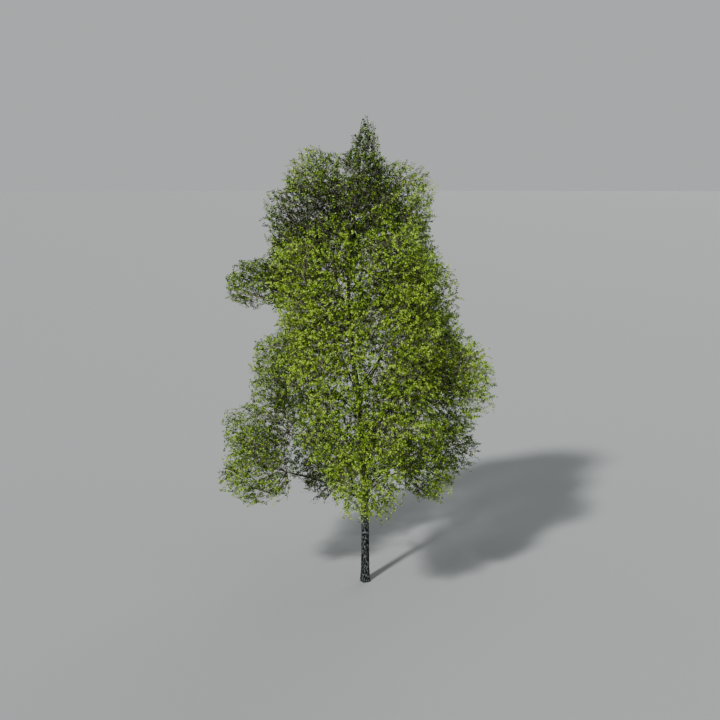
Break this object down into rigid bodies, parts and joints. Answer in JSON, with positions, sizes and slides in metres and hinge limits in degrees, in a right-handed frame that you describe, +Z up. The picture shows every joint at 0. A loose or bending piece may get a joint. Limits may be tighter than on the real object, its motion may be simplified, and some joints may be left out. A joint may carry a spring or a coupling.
{
  "type": "poplar tree",
  "caption": "Tall poplar in full leaf: a slightly bowed tapering trunk with a root flare, rising boughs and an open, irregular, narrow-topped crown.",
  "frame": {"origin": "centre of the flat cut under the trunk, at ground level", "axes": "+Z up the tree, +X towards the side of the lowest right-hand bough, +Y away from the side that the trunk shows on"},
  "size_m": [11.4839, 11.3316, 20.0243],
  "materials": {
    "bark": "grey furrowed bark",
    "foliage": "soft olive-green leaves"
  },
  "bodies": {
    "root": {"trunk": "bark", "bough_back_left_shoulder": "bark", "bough_back_right_shoulder": "bark", "bough_left_arm": "bark", "bough_left_shoulder": "bark", "bough_left_waist": "bark", "bough_low_back": "bark", "bough_low_back_left": "bark", "bough_low_back_right": "bark", "bough_low_front": "bark", "bough_low_front_left": "bark", "bough_low_front_right": "bark", "bough_low_left": "bark", "bough_low_right": "bark", "bough_middle_back_left": "bark", "bough_middle_back_right": "bark", "bough_middle_left": "bark", "bough_middle_right": "bark", "bough_right_back": "bark", "bough_right_lobe": "bark", "bough_top_back": "bark", "bough_top_front": "bark", "bough_top_left": "bark", "bough_top_left_inner": "bark", "bough_top_right": "bark", "bough_upper_back_left": "bark", "bough_upper_back_right": "bark", "bough_upper_left_front": "bark", "bough_upper_right_front": "bark", "bough_upper_right_side": "bark", "leaves_back_left_shoulder": "foliage", "leaves_back_right_shoulder": "foliage", "leaves_left_arm": "foliage", "leaves_left_shoulder": "foliage", "leaves_left_waist": "foliage", "leaves_low_back": "foliage", "leaves_low_back_left": "foliage", "leaves_low_back_right": "foliage", "leaves_low_front": "foliage", "leaves_low_front_left": "foliage", "leaves_low_front_right": "foliage", "leaves_low_left": "foliage", "leaves_low_right": "foliage", "leaves_middle_back_left": "foliage", "leaves_middle_back_right": "foliage", "leaves_middle_left": "foliage", "leaves_middle_right": "foliage", "leaves_right_back": "foliage", "leaves_right_lobe": "foliage", "leaves_spire": "foliage", "leaves_top_back": "foliage", "leaves_top_front": "foliage", "leaves_top_left": "foliage", "leaves_top_left_inner": "foliage", "leaves_top_right": "foliage", "leaves_upper_back_left": "foliage", "leaves_upper_back_right": "foliage", "leaves_upper_left_front": "foliage", "leaves_upper_right_front": "foliage", "leaves_upper_right_side": "foliage"}
  },
  "joints": []
}
